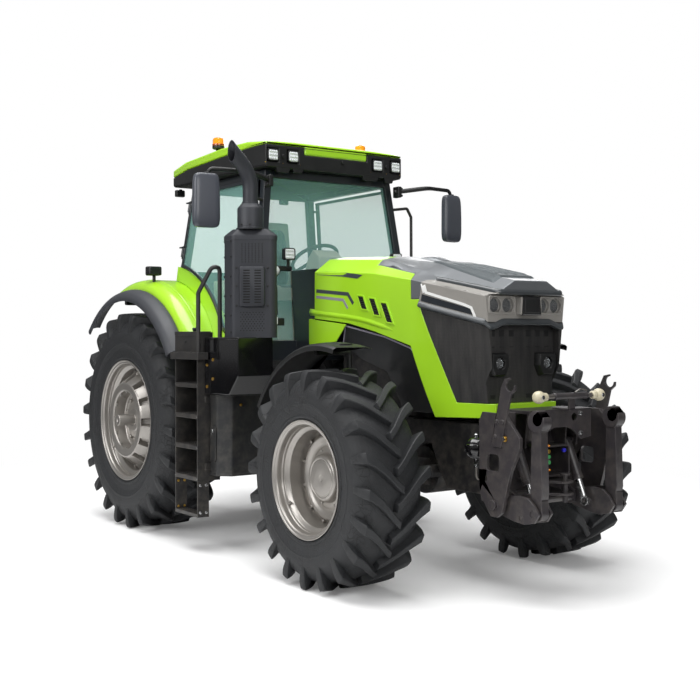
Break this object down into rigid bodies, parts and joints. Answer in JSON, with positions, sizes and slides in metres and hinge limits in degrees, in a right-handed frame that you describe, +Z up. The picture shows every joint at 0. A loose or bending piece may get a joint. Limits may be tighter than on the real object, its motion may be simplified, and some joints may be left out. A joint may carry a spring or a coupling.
{
  "type": "farm tractor",
  "caption": "Row-crop farm tractor with cab, steering front axle, lugged tyres, side exhaust, folded front linkage, opening doors and tilting bonnet.",
  "frame": {"origin": "on the ground at the middle of the overall length and width", "axes": "+X forward, +Y to the left, +Z up"},
  "size_m": [5.2568, 2.5652, 3.2439],
  "materials": {
    "body_green": "gloss",
    "panel_grey": "satin",
    "band_grey": "satin",
    "mesh_black": "matte",
    "flare_grey": "matte",
    "black_plastic": "satin",
    "dark_grey_paint": "satin",
    "glass": "clear",
    "seat_fabric": "woven",
    "tyre": "worn",
    "rim_silver": "satin",
    "chassis_grey": "satin",
    "lamp_amber": "gloss",
    "lamp_clear": "gloss",
    "bright_steel": "brushed"
  },
  "bodies": {
    "chassis": {"accumulator": "black_plastic", "beacons": "lamp_amber", "cab_frame": "dark_grey_paint", "cab_lower_panels": "body_green", "cab_roof": "body_green", "dash_column": "black_plastic", "drawbar": "chassis_grey", "engine_block": "chassis_grey", "exhaust": "dark_grey_paint", "fender_flares": "flare_grey", "front_axle": "chassis_grey", "front_frame": "chassis_grey", "front_top_link": "bright_steel", "gearbox_housing": "chassis_grey", "handrails": "black_plastic", "hitch_frame": "chassis_grey", "ladders": "dark_grey_paint", "mirrors": "black_plastic", "rear_axle": "chassis_grey", "rear_fenders": "body_green", "rear_top_link": "bright_steel", "rear_window": "glass", "roof_base": "black_plastic", "seat": "seat_fabric", "side_boxes": "black_plastic", "side_shields": "black_plastic", "side_tanks": "dark_grey_paint", "signal_lamps": "lamp_amber", "steering_wheel": "black_plastic", "windscreen": "glass", "work_lamps": "dark_grey_paint"},
    "wheel_front_left": {"tyre_front_left": "tyre", "rim_front_left": "rim_silver"},
    "wheel_front_right": {"tyre_front_right": "tyre", "rim_front_right": "rim_silver"},
    "wheel_rear_left": {"tyre_rear_left": "tyre", "rim_rear_left": "rim_silver"},
    "wheel_rear_right": {"tyre_rear_right": "tyre", "rim_rear_right": "rim_silver"},
    "steering_left": {"knuckle_left": "chassis_grey", "front_fender_left": "black_plastic"},
    "steering_right": {"knuckle_right": "chassis_grey", "front_fender_right": "black_plastic"},
    "door_left": {"door_frame_left": "dark_grey_paint", "door_glass_left": "glass"},
    "door_right": {"door_frame_right": "dark_grey_paint", "door_glass_right": "glass"},
    "bonnet": {"bonnet_panels": "body_green", "bonnet_top": "panel_grey", "headlamp_band": "band_grey", "grille": "mesh_black", "front_lamps": "lamp_clear"},
    "front_lift": {"front_lift_arms": "chassis_grey"},
    "front_link_left": {"front_link_left": "chassis_grey"},
    "front_link_right": {"front_link_right": "chassis_grey"},
    "front_barrels": {"front_cylinders": "chassis_grey"},
    "front_rods": {"front_cylinder_rods": "bright_steel"},
    "rear_rocker": {"rear_lift_arms": "chassis_grey"},
    "rear_lift_rods": {"rear_lift_rods": "bright_steel"},
    "rear_lower_links": {"rear_lower_links": "chassis_grey"}
  },
  "joints": [
    {"name": "steer_left", "type": "hinge", "parent": "chassis", "child": "steering_left", "pos_m": [1.3175, 0.735, 0.7], "axis": [0, 0, 1], "range_deg": [-35, 35]},
    {"name": "wheel_front_left_spin", "type": "hinge", "parent": "steering_left", "child": "wheel_front_left", "pos_m": [1.3175, 0.908, 0.7], "axis": [0, 1, 0], "continuous": true},
    {"name": "wheel_rear_left_spin", "type": "hinge", "parent": "chassis", "child": "wheel_rear_left", "pos_m": [-1.4725, 0.88, 0.905], "axis": [0, 1, 0], "continuous": true},
    {"name": "door_left_open", "type": "hinge", "parent": "chassis", "child": "door_left", "pos_m": [-1.25854, 0.79846, 1.6], "axis": [0.0886, -0.124, 0.9883], "range_deg": [0, 60]},
    {"name": "steer_right", "type": "hinge", "parent": "chassis", "child": "steering_right", "pos_m": [1.3175, -0.735, 0.7], "axis": [0, 0, 1], "range_deg": [-35, 35]},
    {"name": "wheel_front_right_spin", "type": "hinge", "parent": "steering_right", "child": "wheel_front_right", "pos_m": [1.3175, -0.908, 0.7], "axis": [0, 1, 0], "continuous": true},
    {"name": "wheel_rear_right_spin", "type": "hinge", "parent": "chassis", "child": "wheel_rear_right", "pos_m": [-1.4725, -0.88, 0.905], "axis": [0, 1, 0], "continuous": true},
    {"name": "door_right_open", "type": "hinge", "parent": "chassis", "child": "door_right", "pos_m": [-1.25854, -0.79846, 1.6], "axis": [-0.0886, -0.124, -0.9883], "range_deg": [0, 60]},
    {"name": "bonnet_open", "type": "hinge", "parent": "chassis", "child": "bonnet", "pos_m": [0.3875, 0, 2.15], "axis": [0, -1, 0], "range_deg": [0, 45]},
    {"name": "front_lift", "type": "hinge", "parent": "chassis", "child": "front_lift", "pos_m": [2.2775, 0, 0.6], "axis": [0, -1, 0], "range_deg": [0, 40]},
    {"name": "front_link_left_fold", "type": "hinge", "parent": "front_lift", "child": "front_link_left", "pos_m": [2.5625, 0.32, 0.575], "axis": [0, 1, 0], "range_deg": [0, 90]},
    {"name": "front_link_right_fold", "type": "hinge", "parent": "front_lift", "child": "front_link_right", "pos_m": [2.5625, -0.32, 0.575], "axis": [0, 1, 0], "range_deg": [0, 90]},
    {"name": "front_cylinder_tilt", "type": "hinge", "parent": "chassis", "child": "front_barrels", "pos_m": [2.2625, 0, 0.955], "axis": [0, -1, 0], "range_deg": [-0.5, 3.9]},
    {"name": "front_cylinder_slide", "type": "slide", "parent": "front_barrels", "child": "front_rods", "axis": [-0.3891, 0, 0.9212], "range_m": [-0.001, 0.0959]},
    {"name": "rear_lift", "type": "hinge", "parent": "chassis", "child": "rear_lower_links", "pos_m": [-1.6825, 0, 0.56], "axis": [0, 1, 0], "range_deg": [-20, 35]},
    {"name": "rear_rocker_turn", "type": "hinge", "parent": "chassis", "child": "rear_rocker", "pos_m": [-1.7875, 0, 1.23], "axis": [0, 1, 0], "range_deg": [-20, 35]},
    {"name": "rear_rod_turn", "type": "hinge", "parent": "rear_rocker", "child": "rear_lift_rods", "pos_m": [-2.1875, 0, 1.23], "axis": [0, 1, 0], "range_deg": [-35, 20]}
  ],
  "couplings": [
    {"joint": "steer_left", "follows": "steer_right", "ratio": 1},
    {"joint": "front_cylinder_tilt", "follows": "front_lift", "ratio": 0.085},
    {"joint": "front_cylinder_slide", "follows": "front_lift", "m_per_rad": 0.136},
    {"joint": "rear_rocker_turn", "follows": "rear_lift", "ratio": 1},
    {"joint": "rear_rod_turn", "follows": "rear_lift", "ratio": -1}
  ]
}
